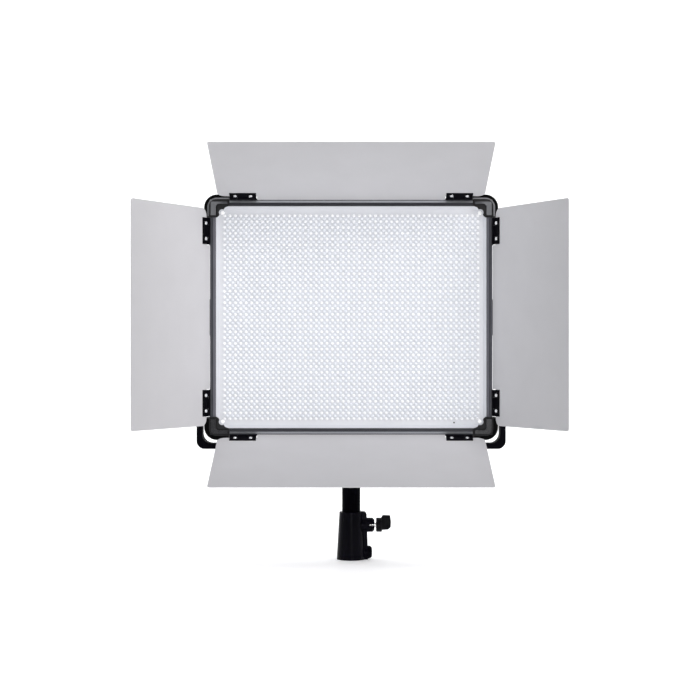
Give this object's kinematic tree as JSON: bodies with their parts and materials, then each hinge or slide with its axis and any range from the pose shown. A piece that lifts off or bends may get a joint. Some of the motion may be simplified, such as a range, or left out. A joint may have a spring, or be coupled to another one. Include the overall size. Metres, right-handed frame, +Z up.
{
  "type": "led panel light",
  "caption": "Rectangular LED studio panel on a tilting U yoke, with folding barn doors all round, rear controls and a clamp collar that fits a lighting stand.",
  "frame": {"origin": "centre of the mouth of the stand bore, in the collar's flat underside", "axes": "+Z up along the stand bore and the post, -Y the way the light shines, +X to the side of the wing knob"},
  "size_m": [0.6311, 0.2707, 0.6291],
  "materials": {
    "frame_anodised": "black anodised, satin",
    "cap_moulded": "moulded, lightly textured",
    "bumper_rubber": "matt",
    "reflector_white": "white satin",
    "board_white": "white solder mask",
    "bright_steel": "satin",
    "black_steel": "black powder coat",
    "door_coat": "grey coat, matt",
    "shell_coat": "black powder coat",
    "collar_coat": "black coat, satin",
    "knob_plastic": "fine texture",
    "plain_aluminium": "mill finish",
    "sensor_dark": "gloss",
    "panel_plastic": "fine texture",
    "display_lens": "smoked, gloss",
    "circuit_green": "solder mask",
    "rocker_plastic": "gloss",
    "inlet_metal": "satin"
  },
  "bodies": {
    "collar": {"collar": "collar_coat", "lock_screw": "black_steel"},
    "wing_knob": {"t_knob": "knob_plastic", "t_screw": "bright_steel"},
    "yoke": {"yoke": "black_steel", "post": "black_steel", "post_bolt": "black_steel", "friction_washers": "knob_plastic", "outer_washers": "bright_steel"},
    "tilt_knob_left": {"tilt_knob_left": "knob_plastic"},
    "tilt_knob_right": {"tilt_knob_right": "knob_plastic"},
    "cct_knob": {"cct_knob": "knob_plastic"},
    "dimmer_knob": {"dimmer_knob": "knob_plastic"},
    "power_rocker": {"power_rocker": "rocker_plastic"},
    "door_top": {"leaf_top": "door_coat", "hinge_plates_top": "black_steel", "rivets_top": "bright_steel"},
    "door_bottom": {"leaf_bottom": "door_coat", "hinge_plates_bottom": "black_steel", "rivets_bottom": "bright_steel"},
    "door_left": {"leaf_left": "door_coat", "hinge_plates_left": "black_steel", "rivets_left": "bright_steel"},
    "door_right": {"leaf_right": "door_coat", "hinge_plates_right": "black_steel", "rivets_right": "bright_steel"},
    "head": {"rail_top": "frame_anodised", "rail_bottom": "frame_anodised", "rail_left": "frame_anodised", "rail_right": "frame_anodised", "cap_upper_left": "cap_moulded", "cap_upper_right": "cap_moulded", "cap_lower_left": "cap_moulded", "cap_lower_right": "cap_moulded", "bumper_upper_left": "bumper_rubber", "bumper_upper_right": "bumper_rubber", "bumper_lower_left": "bumper_rubber", "bumper_lower_right": "bumper_rubber", "reflector_ring": "reflector_white", "led_board": "board_white", "board_screws": "bright_steel", "hinge_pins": "bright_steel", "pivot_bolts": "bright_steel", "hinge_brackets": "black_steel", "pivot_plates": "black_steel", "frame_screws": "black_steel", "shell_screws": "black_steel", "rear_shell": "shell_coat", "heat_spreader": "plain_aluminium", "heat_sink": "plain_aluminium", "driver_box": "plain_aluminium", "board_posts": "plain_aluminium", "sensor": "sensor_dark", "control_panel": "panel_plastic", "rocker_housing": "panel_plastic", "display_window": "display_lens", "display_module": "display_lens", "control_board": "circuit_green", "power_inlet": "inlet_metal", "encoders": "inlet_metal"}
  },
  "joints": [
    {"name": "pan", "type": "hinge", "parent": "collar", "child": "yoke", "pos_m": [0, 0, 0.055], "axis": [0, 0, 1], "continuous": true},
    {"name": "tilt", "type": "hinge", "parent": "yoke", "child": "head", "pos_m": [0, 0, 0.38], "axis": [1, 0, 0], "range_deg": [-90, 9]},
    {"name": "door_top_fold", "type": "hinge", "parent": "head", "child": "door_top", "pos_m": [0, -0.0465, 0.565], "axis": [1, 0, 0], "range_deg": [-70, 110]},
    {"name": "door_bottom_fold", "type": "hinge", "parent": "head", "child": "door_bottom", "pos_m": [0, -0.0465, 0.195], "axis": [-1, 0, 0], "range_deg": [-70, 110]},
    {"name": "door_left_fold", "type": "hinge", "parent": "head", "child": "door_left", "pos_m": [-0.2215, -0.0435, 0.38], "axis": [0, 0, 1], "range_deg": [-61.6, 118.4]},
    {"name": "door_right_fold", "type": "hinge", "parent": "head", "child": "door_right", "pos_m": [0.2215, -0.0435, 0.38], "axis": [0, 0, -1], "range_deg": [-63, 117]},
    {"name": "wing_knob_turn", "type": "hinge", "parent": "collar", "child": "wing_knob", "pos_m": [0.04, 0, 0.054], "axis": [1, 0, 0], "range_deg": [0, 540]},
    {"name": "tilt_knob_left_turn", "type": "hinge", "parent": "head", "child": "tilt_knob_left", "pos_m": [-0.25, 0, 0.38], "axis": [-1, 0, 0], "range_deg": [0, 360]},
    {"name": "tilt_knob_right_turn", "type": "hinge", "parent": "head", "child": "tilt_knob_right", "pos_m": [0.25, 0, 0.38], "axis": [1, 0, 0], "range_deg": [0, 360]},
    {"name": "cct_turn", "type": "hinge", "parent": "head", "child": "cct_knob", "pos_m": [0.036, 0.04, 0.252], "axis": [0, -1, 0], "range_deg": [-150, 150]},
    {"name": "dimmer_turn", "type": "hinge", "parent": "head", "child": "dimmer_knob", "pos_m": [0.076, 0.04, 0.252], "axis": [0, -1, 0], "range_deg": [-150, 150]},
    {"name": "power_switch", "type": "hinge", "parent": "head", "child": "power_rocker", "pos_m": [-0.046, 0.034, 0.252], "axis": [1, 0, 0], "range_deg": [-18, 0]}
  ]
}
